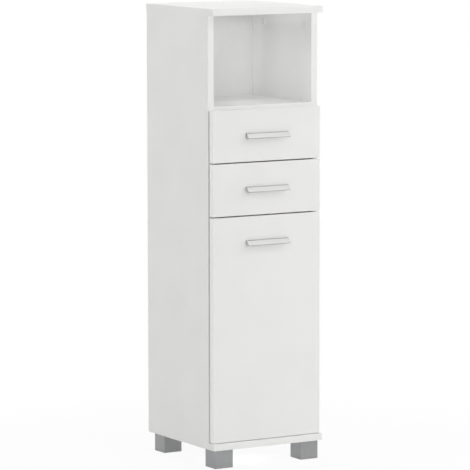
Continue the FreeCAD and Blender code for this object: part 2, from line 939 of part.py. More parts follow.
def hinge_cup(z):
    x, y = hinge_place((0, 0))
    pot = rod(cup_radius, (x, y, z), (x, y - cup_depth, z))
    wing_reach = cup_screw_spacing / 2 + cup_wing_margin
    wing = block(
        x - cup_wing_half_width, x + cup_wing_half_width, y, y + cup_wing_thickness,
        z - wing_reach, z + wing_reach,
    )
    hollow = rod(cup_radius - cup_wall, (x, y, z), (x, y - cup_depth + cup_wall, z))
    slot = block(
        x - cup_radius, x + cup_radius, y - cup_depth, y + cup_wing_thickness,
        z - cup_slot, z + cup_slot,
    )
    passage = block(
        x - cup_radius, x + cup_radius, y, y + cup_wing_thickness, z - cup_slot, z + cup_slot,
    )
    cup = joined(pot, [wing])
    cuts = [hollow.common(slot), passage]
    reach = cup_slot + hinge_pin_seat + bore_relief
    radius = hinge_pin_radius + bore_clearance
    cuts.append(hinge_rod(journal_bore, cup_edge_pin, hinge_pin_radius, z, z + reach))
    cuts.append(hinge_rod(turned_head, cup_deep_pin, radius, z - reach, z))
    for level in cup_screw_levels(z):
        ends = ((x, y, level), (x, y + cup_wing_thickness, level))
        cuts.append(small_rod(cup_screw_radius + bore_clearance, *ends))
    return without(cup, cuts)


def cup_screw_levels(z):
    return z - cup_screw_spacing / 2, z + cup_screw_spacing / 2


def cup_screw(level):
    x, y = hinge_place((0, 0))
    seat = y + cup_wing_thickness
    shank = small_rod(cup_screw_radius, (x, seat, level), (x, seat - cup_screw_length, level))
    head = small_rod(cup_screw_head_radius, (x, seat, level), (x, seat + cup_screw_head, level))
    return joined(shank, [head])


def door():
    x, y = hinge_place((0, 0))
    level = z_door_top - handle_drop
    cuts = handle_screw_bores(level)
    screws = []
    for z in z_hinges:
        cuts.append(rod(cup_radius + cup_clearance, (x, y, z), (x, y - cup_depth - cup_clearance, z)))
        for screw_level in cup_screw_levels(z):
            deep = y + cup_wing_thickness - cup_screw_length - bore_relief
            ends = ((x, y, screw_level), (x, deep, screw_level))
            cuts.append(small_rod(cup_screw_radius + bore_clearance, *ends))
            screws.append(cup_screw(screw_level))
    write("door_panel", without(front_board(z_door_bottom, z_door_top), cuts))
    write("door_handle", handle(level))
    write("door_handle_screws", *handle_screws(level))
    write("hinge_cups", *[hinge_cup(z) for z in z_hinges])
    write("cup_screws", *screws)
    write("cup_pins", *[pin for z in z_hinges for pin in cup_pins(z)])


def hinges():
    write("hinge_plates", *[hinge_plate(z) for z in z_hinges])
    write("hinge_arms", *[hinge_arm(z) for z in z_hinges])
    write("hinge_arm_screws", *[arm_screw(z) for z in z_hinges])
    write("hinge_arm_pins", *[pin for z in z_hinges for pin in arm_pins(z)])
    write("hinge_outer_links", *[outer_link(z) for z in z_hinges])
    write("hinge_inner_links", *[inner_link(z) for z in z_hinges])


os.makedirs("parts", exist_ok=True)
carcass()
loose_shelf()
feet()
runners()
for drawer_name, drawer_level in drawers.items():
    drawer(drawer_name, drawer_level)
door()
hinges()
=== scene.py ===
import math
import bpy
import numpy as np
from mathutils import Matrix, Vector


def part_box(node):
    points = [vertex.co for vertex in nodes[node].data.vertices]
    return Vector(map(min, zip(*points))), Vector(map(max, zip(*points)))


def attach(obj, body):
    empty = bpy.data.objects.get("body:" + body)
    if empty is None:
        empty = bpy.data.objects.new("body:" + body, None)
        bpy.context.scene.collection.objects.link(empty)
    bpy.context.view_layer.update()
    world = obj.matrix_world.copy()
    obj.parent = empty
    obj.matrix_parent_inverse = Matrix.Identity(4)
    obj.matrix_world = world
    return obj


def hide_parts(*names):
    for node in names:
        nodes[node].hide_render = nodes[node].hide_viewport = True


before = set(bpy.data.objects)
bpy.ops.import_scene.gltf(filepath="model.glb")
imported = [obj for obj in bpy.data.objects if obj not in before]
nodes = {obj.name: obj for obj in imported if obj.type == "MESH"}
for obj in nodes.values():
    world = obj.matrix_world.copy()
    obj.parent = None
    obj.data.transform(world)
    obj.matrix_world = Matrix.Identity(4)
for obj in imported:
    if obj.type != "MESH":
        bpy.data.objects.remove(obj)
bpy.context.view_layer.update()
scene = bpy.context.scene
mm = 0.001          # in metres
metre = 1000        # in mm: a pattern's scale is this over its real size
drawers = ("upper", "lower")
print("cabinet frame loaded:", len(nodes), "nodes")

# sockets of the mix node: two colours and their result, two plain numbers and theirs
colourA, colourB, colourOut = 6, 7, 2
numberA, numberB, numberOut = 2, 3, 0


# sRGB hex text to linear RGBA
def linearColour(hexText):
    parts = np.array([int(hexText[i:i + 2], 16) / 255 for i in (1, 3, 5)])
    linear = np.where(parts <= 0.04045, parts / 12.92, ((parts + 0.055) / 1.055) ** 2.4)
    return (*linear.tolist(), 1.0)


# outputs into a node's sockets, by the socket's name or number
def feed(tree, node, links):
    for key, output in links.items():
        tree.links.new(output, node.inputs[key])


# one node with its settings, its socket values, its links and, on a ramp, its colour stops
def addNode(tree, kind, settings=None, values=None, links=None, stops=()):
    node = tree.nodes.new(kind)
    for key, value in (settings or {}).items():
        setattr(node, key, value)
    for key, value in (values or {}).items():
        node.inputs[key].default_value = value
    feed(tree, node, links or {})
    for number, (position, hexText) in enumerate(stops):
        elements = node.color_ramp.elements
        element = elements[number] if number < len(elements) else elements.new(position)
        element.position = position
        element.color = linearColour(hexText)
    return node


# a material without nodes, and its tree
def emptyMaterial(name):
    material = bpy.data.materials.new(name)
    material.use_nodes = True
    material.node_tree.nodes.clear()
    return material, material.node_tree


# a material with its shader, and the outputs that give the object's own coordinates and normals
def startMaterial(name, values):
    material, tree = emptyMaterial(name)
    shader = addNode(tree, "ShaderNodeBsdfPrincipled", values=values)
    addNode(tree, "ShaderNodeOutputMaterial", {"is_active_output": True},
            links={"Surface": shader.outputs["BSDF"]})
    return material, tree, shader, addNode(tree, "ShaderNodeTexCoord").outputs


# melamine-faced chipboard: pressed white paper with a faint pearl, so a satin, almost even face. Edges
# wear brighter, glossier ABS edging, the ends of level boards the paper itself, and sawn rear edges show
# bare chips
boardLook = {
    "ior": 1.5,
    "carcassPaper": [(0.35, "#F2F2F1"), (0.65, "#F5F5F4")],
    "frontPaper": [(0.35, "#F7F7F5"), (0.65, "#F9F9F7")],
    "cloudSize": 140, "cloudDetail": 3.0,           # sizes and depths in mm
    "pearlSize": 1.6, "pearlDetail": 2.0,           # drawn coarser than the real pearl, so that it shows
    "pearlFrom": 0.3, "pearlTo": 0.7, "pearlDepth": 0.02, "pearlBump": 0.35,
    "roughLow": 0.40, "roughHigh": 0.52,
    "edging": "#FBFBF9", "edgingRough": 0.34, "edgingBelow": 0.7,
    "chips": [(0.2, "#A4865E"), (0.5, "#B99B71"), (0.8, "#CDB289")], "chipSize": 2.4, "sawnDepth": 0.3,
}


def melamineBoard(name, paper, axis, plainAxis, sawnPlane=None):
    look = boardLook
    material, tree, shader, here = startMaterial(name, {"IOR": look["ior"]})
    place = {"Vector": here["Object"]}
    cloud = addNode(tree, "ShaderNodeTexNoise", values={
        "Scale": metre / look["cloudSize"], "Detail": look["cloudDetail"]}, links=place)
    tone = addNode(tree, "ShaderNodeValToRGB", links={"Fac": cloud.outputs["Fac"]}, stops=look[paper])
    pearl = addNode(tree, "ShaderNodeTexNoise", values={
        "Scale": metre / look["pearlSize"], "Detail": look["pearlDetail"]}, links=place)
    rough = addNode(tree, "ShaderNodeMapRange", values={
        "From Min": look["pearlFrom"], "From Max": look["pearlTo"],
        "To Min": look["roughLow"], "To Max": look["roughHigh"]}, links={"Value": pearl.outputs["Fac"]})
    bump = addNode(tree, "ShaderNodeBump", values={
        "Strength": look["pearlBump"], "Distance": look["pearlDepth"] * mm},
        links={"Height": pearl.outputs["Fac"]})
    # edging is wherever the surface turns away from the thickness axis and from the axis of the plain ends
    sides = addNode(tree, "ShaderNodeVectorMath", {"operation": "ABSOLUTE"}, links={0: here["Normal"]})
    facing = addNode(tree, "ShaderNodeSeparateXYZ", links={"Vector": sides.outputs["Vector"]})
    turned = addNode(tree, "ShaderNodeMath", {"operation": "MAXIMUM"}, links={
        0: facing.outputs[axis], 1: facing.outputs[plainAxis]})
    edging = addNode(tree, "ShaderNodeMath", {"operation": "LESS_THAN"}, {1: look["edgingBelow"]},
                     {0: turned.outputs["Value"]})
    banded = addNode(tree, "ShaderNodeMix", {"data_type": "RGBA"}, {colourB: linearColour(look["edging"])}, {
        "Factor": edging.outputs["Value"], colourA: tone.outputs["Color"]})
    gloss = addNode(tree, "ShaderNodeMix", {"data_type": "FLOAT"}, {numberB: look["edgingRough"]}, {
        "Factor": edging.outputs["Value"], numberA: rough.outputs["Result"]})
    colour = banded.outputs[colourOut]
    roughness = gloss.outputs[numberOut]
    if sawnPlane is not None:
        # behind this plane are the sawn rear edges, rough and bare
        axes = addNode(tree, "ShaderNodeSeparateXYZ", links=place)
        sawn = addNode(tree, "ShaderNodeMath", {"operation": "GREATER_THAN"}, {1: sawnPlane},
                       {0: axes.outputs["Y"]})
        chips = addNode(tree, "ShaderNodeTexVoronoi", values={"Scale": metre / look["chipSize"]}, links=place)
        chipTone = addNode(tree, "ShaderNodeValToRGB", links={"Fac": chips.outputs["Color"]},
                           stops=look["chips"])
        mixed = addNode(tree, "ShaderNodeMix", {"data_type": "RGBA"}, links={
            "Factor": sawn.outputs["Value"], colourA: colour, colourB: chipTone.outputs["Color"]})
        colour = mixed.outputs[colourOut]
        dull = addNode(tree, "ShaderNodeMath", {"operation": "MAXIMUM"}, links={
            0: roughness, 1: sawn.outputs["Value"]})
        roughness = dull.outputs["Value"]
    feed(tree, shader, {"Base Color": colour, "Roughness": roughness, "Normal": bump.outputs["Normal"]})
    return material


# hardboard: smooth white lacquer with a faint unevenness on the seen side, on the other the dull brown
# of pressed fibres, darker and paler in blotches
hardboardLook = {
    "ior": 1.5,
    "lacquer": [(0.38, "#E4E4E4"), (0.62, "#E8E8E8")], "lacquerRough": 0.42,
    "fibres": [(0.38, "#7A5A3A"), (0.62, "#9C774E")], "bareRough": 0.85,
    "fibreSize": 2.2, "fibreDetail": 6.0, "fibreRough": 0.7, "fibreShare": 0.45,    # sizes and depths in mm
    "blotchSize": 70, "blotchDetail": 5.0, "blotchRough": 0.65,
    "fibreDepth": 0.05, "fibreBump": 0.4,
}


# split is where, along the axis, the lacquered side meets the bare one
def hardboard(name, axis, split, bareAbove):
    look = hardboardLook
    material, tree, shader, here = startMaterial(name, {"IOR": look["ior"]})
    place = {"Vector": here["Object"]}
    axes = addNode(tree, "ShaderNodeSeparateXYZ", links=place)
    bare = addNode(tree, "ShaderNodeMath", {"operation": "GREATER_THAN" if bareAbove else "LESS_THAN"},
                   {1: split}, {0: axes.outputs[axis]})
    fibre = addNode(tree, "ShaderNodeTexNoise", values={
        "Scale": metre / look["fibreSize"], "Detail": look["fibreDetail"],
        "Roughness": look["fibreRough"]}, links=place)
    blotch = addNode(tree, "ShaderNodeTexNoise", values={
        "Scale": metre / look["blotchSize"], "Detail": look["blotchDetail"],
        "Roughness": look["blotchRough"]}, links=place)
    pulp = addNode(tree, "ShaderNodeMix", {"data_type": "FLOAT"}, {"Factor": look["fibreShare"]}, {
        numberA: blotch.outputs["Fac"], numberB: fibre.outputs["Fac"]})
    brown = addNode(tree, "ShaderNodeValToRGB", links={"Fac": pulp.outputs[numberOut]}, stops=look["fibres"])
    lacquer = addNode(tree, "ShaderNodeValToRGB", links={"Fac": blotch.outputs["Fac"]}, stops=look["lacquer"])
    mixed = addNode(tree, "ShaderNodeMix", {"data_type": "RGBA"}, links={
        "Factor": bare.outputs["Value"], colourA: lacquer.outputs["Color"], colourB: brown.outputs["Color"]})
    rough = addNode(tree, "ShaderNodeMapRange", values={
        "To Min": look["lacquerRough"], "To Max": look["bareRough"]}, links={"Value": bare.outputs["Value"]})
    bump = addNode(tree, "ShaderNodeBump", values={
        "Strength": look["fibreBump"], "Distance": look["fibreDepth"] * mm},
        links={"Height": fibre.outputs["Fac"]})
    feed(tree, shader, {"Base Color": mixed.outputs[colourOut], "Roughness": rough.outputs["Result"],
                        "Normal": bump.outputs["Normal"]})
    return material


# plastics and powder coat: a fine grain that breaks up highlights, and a slight unevenness of colour;
# the grain is drawn coarser than the real one, so that it shows. Sizes and depths in mm
grainLook = {
    "ior": 1.5, "cloudSize": 40, "cloudDetail": 4.0, "darkAt": 0.35, "paleAt": 0.65,
    "grainDetail": 3.0, "grainFrom": 0.3, "grainTo": 0.7, "roughSpan": 0.06, "grainBump": 0.4,
}
grainedFinishes = {
    # injection-moulded ABS, mid grey and satin from an eroded mould
    "feetPlastic": {"name": "moulded_abs_feet", "dark": "#A3A4A5", "pale": "#A9AAAB",
                    "grainSize": 0.8, "grainDepth": 0.03, "rough": 0.45},
    # moulded polyethylene, milky white with a soft waxy gloss
    "whitePlastic": {"name": "moulded_white_polyethylene", "dark": "#E6E6E3", "pale": "#EDEDEA",
                     "grainSize": 0.7, "grainDepth": 0.02, "rough": 0.4},
    # moulded nylon, cream and smoother, letting a little light in
    "nylon": {"name": "moulded_nylon", "dark": "#DEDCD3", "pale": "#E9E7DF",
              "grainSize": 0.6, "grainDepth": 0.02, "rough": 0.35,
              "scatter": {"Subsurface Weight": 0.15, "Subsurface Radius": (0.002, 0.002, 0.0018)}},
    # powder-coated steel, white with the low ripple of the baked coat
    "coatedSteel": {"name": "powder_coated_steel", "dark": "#E4E4E0", "pale": "#EBEBE7",
                    "grainSize": 1.5, "grainDepth": 0.04, "rough": 0.38},
}


def grained(own):
    look = {**grainLook, **own}
    values = {"IOR": look["ior"], **look.get("scatter", {})}
    material, tree, shader, here = startMaterial(look["name"], values)
    place = {"Vector": here["Object"]}
    cloud = addNode(tree, "ShaderNodeTexNoise", values={
        "Scale": metre / look["cloudSize"], "Detail": look["cloudDetail"]}, links=place)
    tone = addNode(tree, "ShaderNodeValToRGB", links={"Fac": cloud.outputs["Fac"]},
                   stops=[(look["darkAt"], look["dark"]), (look["paleAt"], look["pale"])])
    grain = addNode(tree, "ShaderNodeTexNoise", values={
        "Scale": metre / look["grainSize"], "Detail": look["grainDetail"]}, links=place)
    rough = addNode(tree, "ShaderNodeMapRange", values={
        "From Min": look["grainFrom"], "From Max": look["grainTo"],
        "To Min": look["rough"] - look["roughSpan"], "To Max": look["rough"] + look["roughSpan"]},
        links={"Value": grain.outputs["Fac"]})
    bump = addNode(tree, "ShaderNodeBump", values={
        "Strength": look["grainBump"], "Distance": look["grainDepth"] * mm},
        links={"Height": grain.outputs["Fac"]})
    feed(tree, shader, {"Base Color": tone.outputs["Color"], "Roughness": rough.outputs["Result"],
                        "Normal": bump.outputs["Normal"]})
    return material


# metals: marks of their making, as long on each axis as streak says, and a softly uneven gloss.
# Sizes and depths in mm; the finest marks are drawn coarser than the real ones, so that they show
metalLook = {
    "detail": 3.0, "darkAt": 0.3, "paleAt": 0.7, "roughSpan": 0.08, "bump": 0.3,
}
metalFinishes = {
    # aluminium brushed along the strip and clear anodised: pale and satin with fine level lines;
    # painted shade and reflection make the rolled fold, the cut lip and the cut ends darker
    "handleMetal": {"name": "satin_anodised_aluminium", "dark": "#DEDEDD", "pale": "#E8E8E6",
                    "streak": (60, 0.5, 0.5), "rough": 0.38, "depth": 0.02,
                    "paintedShade": "#B2B2B1", "foldFrom": 0.70, "foldTo": 0.86, "lipBelow": -0.25, "endsAbove": 0.7},
    # nickel-plated steel: warm grey, the glossiest metal here
    "nickel": {"name": "nickel_plated_steel", "dark": "#B9B6AF", "pale": "#C9C6BF",
               "streak": (4, 4, 8), "rough": 0.26, "depth": 0.01},
    # die-cast zinc: cool grey and dull, with the even mottle of a casting
    "zinc": {"name": "die_cast_zinc", "dark": "#9EA0A2", "pale": "#B6B8BA",
             "streak": (3, 3, 3), "rough": 0.42, "depth": 0.03},
}


def metal(own):
    look = {**metalLook, **own}
    material, tree, shader, here = startMaterial(look["name"], {"Metallic": 1.0})
    stretch = addNode(tree, "ShaderNodeMapping", values={"Scale": [metre / size for size in look["streak"]]},
                      links={"Vector": here["Object"]})
    lines = addNode(tree, "ShaderNodeTexNoise", values={"Scale": 1.0, "Detail": look["detail"]},
                    links={"Vector": stretch.outputs["Vector"]})
    tone = addNode(tree, "ShaderNodeValToRGB", links={"Fac": lines.outputs["Fac"]},
                   stops=[(look["darkAt"], look["dark"]), (look["paleAt"], look["pale"])])
    rough = addNode(tree, "ShaderNodeMapRange", values={
        "From Min": look["darkAt"], "From Max": look["paleAt"],
        "To Min": look["rough"] - look["roughSpan"], "To Max": look["rough"] + look["roughSpan"]},
        links={"Value": lines.outputs["Fac"]})
    bump = addNode(tree, "ShaderNodeBump", values={
        "Strength": look["bump"], "Distance": look["depth"] * mm}, links={"Height": lines.outputs["Fac"]})
    colour = tone.outputs["Color"]
    if "paintedShade" in look:
        # painted shade and reflection: the rolled fold on top, the cut lip below and the cut ends, told by
        # the way they face, are given a darker tone
        facing = addNode(tree, "ShaderNodeSeparateXYZ", links={"Vector": here["Normal"]})
        fold = addNode(tree, "ShaderNodeMapRange", {"interpolation_type": "SMOOTHSTEP"}, {
            "From Min": look["foldFrom"], "From Max": look["foldTo"]}, {"Value": facing.outputs["Z"]})
        below = addNode(tree, "ShaderNodeMath", {"operation": "LESS_THAN"}, {1: look["lipBelow"]},
                        {0: facing.outputs["Z"]})
        sideways = addNode(tree, "ShaderNodeMath", {"operation": "ABSOLUTE"}, links={0: facing.outputs["X"]})
        ends = addNode(tree, "ShaderNodeMath", {"operation": "GREATER_THAN"}, {1: look["endsAbove"]},
                       {0: sideways.outputs["Value"]})
        either = addNode(tree, "ShaderNodeMath", {"operation": "MAXIMUM"}, links={
            0: fold.outputs["Result"], 1: below.outputs["Value"]})
        paintedShade = addNode(tree, "ShaderNodeMath", {"operation": "MAXIMUM"}, links={
            0: either.outputs["Value"], 1: ends.outputs["Value"]})
        # the darker tone of the painted shade goes where the mask is one
        mixed = addNode(tree, "ShaderNodeMix", {"data_type": "RGBA"}, {colourB: linearColour(look["paintedShade"])}, {
            "Factor": paintedShade.outputs["Value"], colourA: colour})
        colour = mixed.outputs[colourOut]
    feed(tree, shader, {"Base Color": colour, "Roughness": rough.outputs["Result"],
                        "Normal": bump.outputs["Normal"]})
    return material


# turned beech: pale and dull, with short brown flecks of grain; sizes and depth in mm
beechLook = {
    "name": "turned_beech", "ior": 1.5, "rough": 0.6, "flecks": (1.2, 1.2, 9), "detail": 4.0,
    "tones": [(0.3, "#C39A6B"), (0.7, "#E0C095")], "depth": 0.05, "bump": 0.4,
}


def beech(look):
    values = {"IOR": look["ior"], "Roughness": look["rough"]}
    material, tree, shader, here = startMaterial(look["name"], values)
    stretch = addNode(tree, "ShaderNodeMapping", values={"Scale": [metre / size for size in look["flecks"]]},
                      links={"Vector": here["Object"]})
    grain = addNode(tree, "ShaderNodeTexNoise", values={"Scale": 1.0, "Detail": look["detail"]},
                    links={"Vector": stretch.outputs["Vector"]})
    tone = addNode(tree, "ShaderNodeValToRGB", links={"Fac": grain.outputs["Fac"]}, stops=look["tones"])
    bump = addNode(tree, "ShaderNodeBump", values={
        "Strength": look["bump"], "Distance": look["depth"] * mm}, links={"Height": grain.outputs["Fac"]})
    feed(tree, shader, {"Base Color": tone.outputs["Color"], "Normal": bump.outputs["Normal"]})
    return material


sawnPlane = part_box("left_side_panel")[1].y - boardLook["sawnDepth"] * mm
backMiddle = sum(corner.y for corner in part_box("back_panel")) / 2
finishes = {
    "levelBoard": melamineBoard("melamine_carcass_level", "carcassPaper", "Z", "X", sawnPlane),
    "uprightBoard": melamineBoard("melamine_carcass_upright", "carcassPaper", "X", "X", sawnPlane),
    "frontBoard": melamineBoard("melamine_front", "frontPaper", "Y", "Y"),
    "boxSide": melamineBoard("melamine_drawer_side", "carcassPaper", "X", "X"),
    "backBoard": hardboard("lacquered_hardboard_back", "Y", backMiddle, True),
    "beech": beech(beechLook),
}
for finish, look in grainedFinishes.items():
    finishes[finish] = grained(look)
for finish, look in metalFinishes.items():
    finishes[finish] = metal(look)
for word in drawers:
    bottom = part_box(word + "_drawer_bottom")
    finishes[word + "Bottom"] = hardboard("lacquered_hardboard_" + word + "_bottom", "Z",
                                          (bottom[0].z + bottom[1].z) / 2, False)
print("finishes made:", len(finishes))

# which CAD nodes wear which finish
nodeFinish = {
    "levelBoard": ["top_panel", "bottom_panel", "niche_shelf", "drawer_base_shelf", "adjustable_shelf"],
    "uprightBoard": ["left_side_panel", "right_side_panel"],
    "frontBoard": ["door_panel"],
    "boxSide": [],
    "backBoard": ["back_panel"],
    "feetPlastic": ["foot_front_left", "foot_front_right", "foot_rear_left", "foot_rear_right"],
    "whitePlastic": ["cam_caps"],
    "nylon": ["upper_front_rollers", "lower_front_rollers", "upper_rear_rollers", "lower_rear_rollers"],
    "coatedSteel": ["upper_cabinet_runners", "lower_cabinet_runners"],
    "handleMetal": ["door_handle"],
    "nickel": ["shelf_pins", "euro_screws", "hinge_plates", "hinge_arms", "hinge_arm_screws",
               "hinge_arm_pins", "hinge_cups", "cup_screws", "cup_pins", "hinge_outer_links",
               "hinge_inner_links", "front_roller_pins", "foot_screws", "door_handle_screws"],
    "zinc": ["cam_locks", "cam_bolts"],
    "beech": ["dowels"],
}
for word in drawers:
    start = word + "_drawer_"
    nodeFinish["frontBoard"] += [start + "front", start + "back"]
    nodeFinish["boxSide"] += [start + "left_side", start + "right_side"]
    nodeFinish["coatedSteel"].append(start + "rails")
    nodeFinish["handleMetal"].append(start + "handle")
    nodeFinish["nickel"] += [start + end for end in ("rail_screws", "roller_pins", "handle_screws")]
    nodeFinish["beech"].append(start + "dowels")
    nodeFinish[word + "Bottom"] = [start + "bottom"]
for finish, names in nodeFinish.items():
    for name in names:
        slots = nodes[name].data.materials
        slots.clear()
        slots.append(finishes[finish])
dressed = {name for names in nodeFinish.values() for name in names}
print("nodes without a finish:", sorted(set(nodes) - dressed))


# a closed skin over rings of points: ring after ring along the first index, round each ring along the second;
# it is capped at both ends, or joined end to end where it is a loop
def shell(rings, loop=False):
    count, sides = rings.shape[:2]
    index = np.arange(count * sides).reshape(count, sides)
    first, follow = (index, np.roll(index, -1, axis=0)) if loop else (index[:-1], index[1:])
    beside = [np.roll(row, -1, axis=1) for row in (first, follow)]
    quads = np.stack([first, beside[0], beside[1], follow], axis=-1).reshape(-1, 4)
    caps = index[:0] if loop else np.stack([index[0][::-1], index[-1]])
    points = rings.reshape(-1, 3)
    middle = points.mean(0)
    volume = 0.0
    # the volume of the cones from the middle to each face tells which way the faces turn
    for faces in (quads, caps):
        corner = points[faces] - middle
        apex = np.repeat(corner[:, :1], faces.shape[1] - 2, axis=1)
        volume += np.einsum("ijk,ijk->", np.cross(corner[:, 1:-1], corner[:, 2:]), apex)
    way = 1 if volume > 0 else -1
    return points, (quads[:, ::way], caps[:, ::way])


# rings turned about the third axis: (radius cos angle, radius sin angle, height), from arrays of the three
def turnedRings(radius, height, angle):
    radius, height, angle = np.broadcast_arrays(radius, height, angle)
    return np.stack([radius * np.cos(angle), radius * np.sin(angle), height], axis=-1)


# the way that a piece faces, in parts sideways from the cabinet's middle, backwards and upwards
inwards, outwards, backwards, downwards = (-1, 0, 0), (1, 0, 0), (0, 1, 0), (0, 0, -1)


def faceWay(way, middle):
    return np.array(way, dtype=float) * (np.sign(middle[0]), 1, 1)


# a right-handed set of axes whose third one is ahead
def headAxes(ahead):
    side = np.cross((0.0, 0.0, 1.0) if ahead[2] == 0 else (0.0, 1.0, 0.0), ahead)
    return np.stack([side, np.cross(ahead, side), ahead])


# lowest and highest corners, in mm, of each loose solid in a CAD node
def looseBoxes(name):
    micrometres = 1e6       # in a metre: corners that agree to one are the same
    mesh = nodes[name].data
    flat = np.empty(len(mesh.vertices) * 3)
    mesh.vertices.foreach_get("co", flat)
    steps = np.round(flat.reshape(-1, 3) * micrometres).astype(np.int64)
    points, merged = np.unique(steps, axis=0, return_inverse=True)
    corners = np.empty(len(mesh.loops), dtype=np.int64)
    mesh.loops.foreach_get("vertex_index", corners)
    triangles = merged.ravel()[corners].reshape(-1, 3)
    label = np.arange(len(points))
    settled = False
    while not settled:      # each corner takes the lowest label of its triangle until nothing changes
        spread = label.copy()
        np.minimum.at(spread, triangles.ravel(), np.repeat(label[triangles].min(1), 3))
        settled = bool((spread == label).all())
        label = spread
    groups = [points[label == mark] / (micrometres * mm) for mark in np.unique(label)]
    return [(group.min(0), group.max(0)) for group in groups]


sharpAngle = math.radians(38)       # edges that fold more than this stay sharp


# one object from several shells in mm, which rides a body and stands for CAD nodes
def makePiece(name, shells, finish, body, replaced):
    points, faces = [], []
    start = 0
    for shellPoints, blocks in shells:
        points.append(shellPoints * mm)
        for block in blocks:
            faces += (block + start).tolist()
        start += len(shellPoints)
    mesh = bpy.data.meshes.new(name)
    mesh.from_pydata(np.concatenate(points).tolist(), [], faces)
    mesh.polygons.foreach_set("use_smooth", np.ones(len(mesh.polygons), dtype=bool))
    mesh.set_sharp_from_angle(angle=sharpAngle)
    mesh.materials.append(finishes[finish])
    piece = bpy.data.objects.new(name, mesh)
    scene.collection.objects.link(piece)
    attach(piece, body)
    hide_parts(*replaced)


# strip handle: one folded aluminium strip on two posts, its lip open below for the fingers; sizes in mm
handleLook = {
    "half": 58.0, "thick": 2.0, "shelf": 4.5, "lip": (13.7, -11.0), "bend": 4.5, "bendSteps": 9,
    "edgeRound": 0.5, "edgePower": 0.5, "lipSteps": 9,
    "brokenEnd": [(0.0, 0.60), (0.15, 0.82), (0.5, 1.0)],       # from the end, share of the thickness
    "postAt": 48.0, "postRadius": 4.5, "postDrop": 6.25, "postSides": 40, "postRings": (0.0, 0.5, 1.0),
    "postShort": 0.8,       # thicknesses short of the strip's outer face, so it ends inside the strip
}


# middle line: flat shelf, an arc of the bend's radius, then the slope to the lip; the outline is that line
# moved half a thickness to each side, with a squared round at the lip
def handleOutline(thick):
    look = handleLook
    slope = np.array(look["lip"]) - (look["shelf"], 0.0)
    turn = math.atan2(-slope[1], slope[0])
    radius = look["bend"]
    back = radius * math.tan(turn / 2)
    fold = np.array([look["shelf"], 0.0])
    along = slope / np.linalg.norm(slope)
    sweep = np.linspace(0, turn, look["bendSteps"])
    arc = fold + np.stack([radius * np.sin(sweep) - back, radius * np.cos(sweep) - radius], axis=-1)
    line = np.concatenate([[(0.0, 0.0)], arc, [np.array(look["lip"])]])
    angle = np.concatenate([[0.0], sweep, [turn]])
    normal = np.stack([np.sin(angle), np.cos(angle)], axis=-1)
    middle = line - normal * look["thick"] / 2
    outer = middle + normal * thick / 2
    inner = middle - normal * thick / 2
    lipAngle = np.linspace(math.pi / 2, -math.pi / 2, look["lipSteps"])[1:-1]
    lift = np.sign(np.sin(lipAngle)) * np.abs(np.sin(lipAngle)) ** look["edgePower"] * thick / 2
    reach = np.abs(np.cos(lipAngle)) ** look["edgePower"] * look["edgeRound"]
    lip = middle[-1] + normal[-1] * lift[:, None] + along * (reach[:, None] - look["edgeRound"])
    outer[-1] -= along * look["edgeRound"]
    inner[-1] -= along * look["edgeRound"]
    return np.concatenate([outer, lip, inner[::-1]])


# strip: the outline carried along x, thinner at its two ends so that the cut edges are broken
def handleShells(face, top):
    look = handleLook
    steps = [(away - look["half"], share) for away, share in look["brokenEnd"]]
    steps += [(-x, share) for x, share in steps[::-1]]
    rings = []
    for x, share in steps:
        outline = handleOutline(look["thick"] * share)
        rings.append(np.stack([np.full(len(outline), x), face - outline[:, 0], top + outline[:, 1]], axis=-1))
    shells = [shell(np.stack(rings))]
    # posts: round, from the front's face to the strip's slope, so each far end is cut on the slant
    lip = np.array(look["lip"])
    lean = (lip[0] - look["shelf"]) / -lip[1]
    angle = np.linspace(0, 2 * math.pi, look["postSides"], endpoint=False)
    level = look["postRadius"] * np.sin(angle) - look["postDrop"]
    end = look["shelf"] - level * lean - look["thick"] * look["postShort"]
    share = np.array(look["postRings"])[:, None]
    for x in (-look["postAt"], look["postAt"]):
        rings = np.stack(np.broadcast_arrays(
            x + look["postRadius"] * np.cos(angle)[None], face - share * end[None], top + level[None]),
            axis=-1)
        shells.append(shell(rings))
    return shells


for body in ("upper_drawer", "lower_drawer", "door"):
    node = body + "_handle"
    high = np.array(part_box(node)[1]) / mm
    makePiece("folded_" + node, handleShells(high[1], high[2]), "handleMetal", body, [node])
print("handles folded")

# screws: pan head with a cross recess, and a threaded shank; radii, lengths and pitch in mm
screwLook = {
    "euro": {"head": 4.2, "rise": 0.7, "shank": 2.5, "length": 11.0, "pitch": 1.7, "recess": 0.9},
    "rail": {"head": 3.5, "rise": 0.8, "shank": 1.75, "length": 9.0, "pitch": 1.4, "recess": 0.7},
    "cup": {"head": 3.2, "rise": 1.0, "shank": 1.75, "length": 11.0, "pitch": 1.4, "recess": 0.8},
    "arm": {"head": 3.5, "rise": 2.0, "shank": 2.0, "length": 9.0, "pitch": 1.1, "recess": 1.3},
    "handle": {"head": 4.0, "rise": 2.4, "shank": 2.0, "length": 19.0, "pitch": 1.3, "recess": 1.6},
    "foot": {"head": 4.5, "rise": 3.0, "shank": 2.25, "length": 34.0, "pitch": 2.2, "recess": 1.8},
}
